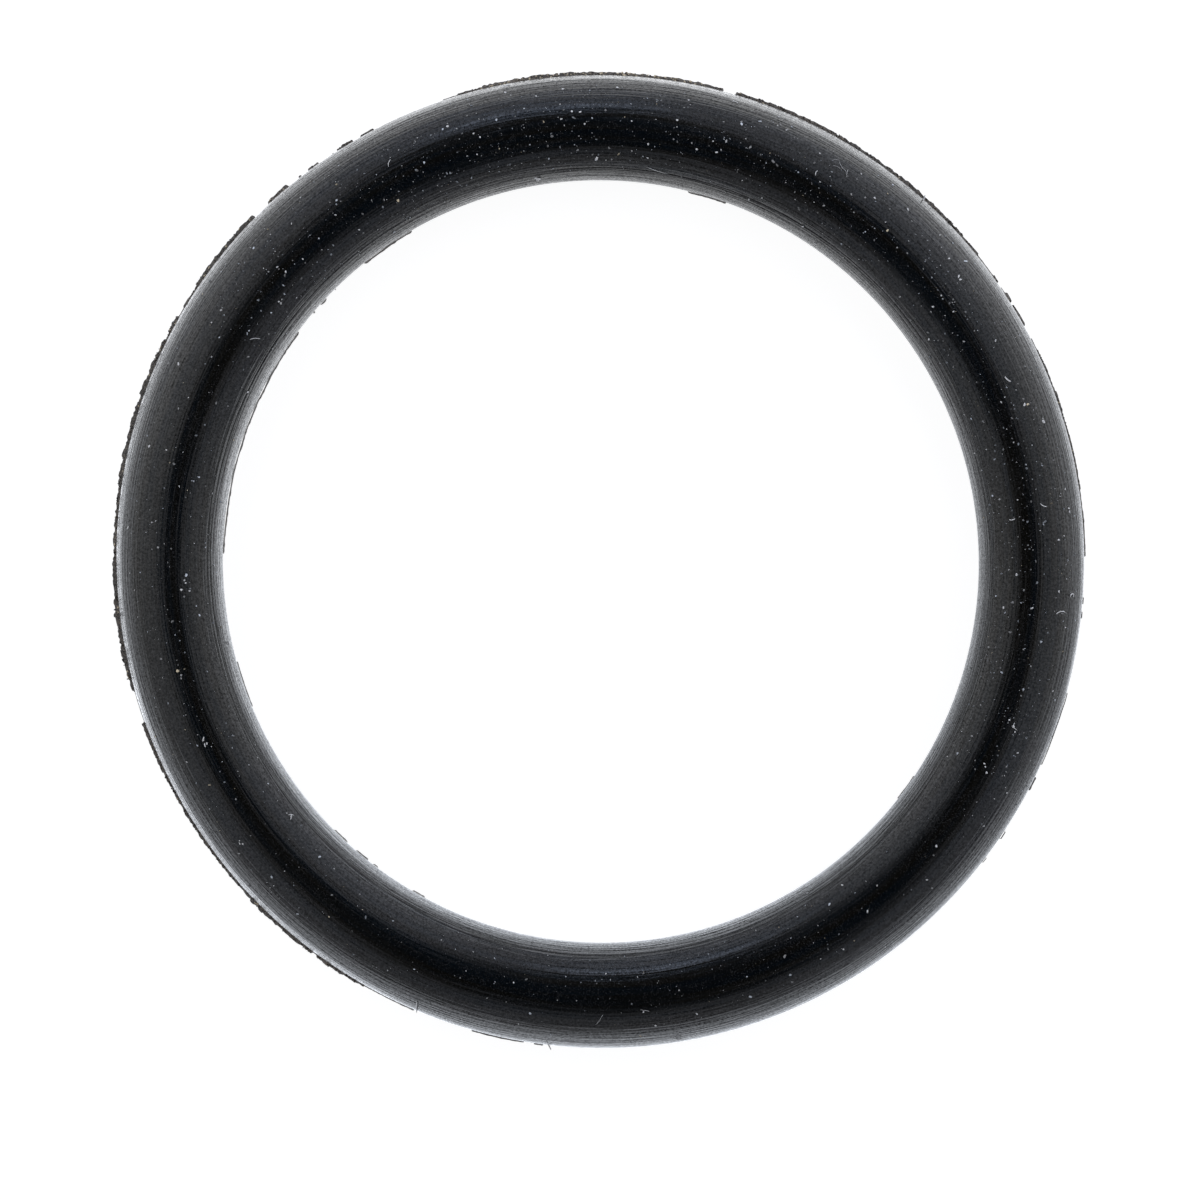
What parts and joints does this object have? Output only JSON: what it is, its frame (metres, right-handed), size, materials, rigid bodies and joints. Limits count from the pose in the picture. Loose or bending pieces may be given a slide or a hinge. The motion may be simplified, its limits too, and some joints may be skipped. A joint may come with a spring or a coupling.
{
  "type": "rubber o-ring",
  "caption": "Round rubber sealing ring of round section, with a thin torn moulding fin along its parting line; it seals a shaft, bore or face when squeezed in a groove.",
  "frame": {"origin": "centre of the ring, halfway through its thickness, so the ring lies on a surface at z = -1.25 mm", "axes": "+Z along the ring's axis; the ring looks the same both ways up, and +X and +Y are the right and the top of the picture"},
  "size_m": [0.0231, 0.0231, 0.0024],
  "materials": {
    "rubber": "smooth, lightly glossy moulded rubber"
  },
  "bodies": {
    "root": {"o_ring": "rubber"}
  },
  "joints": []
}
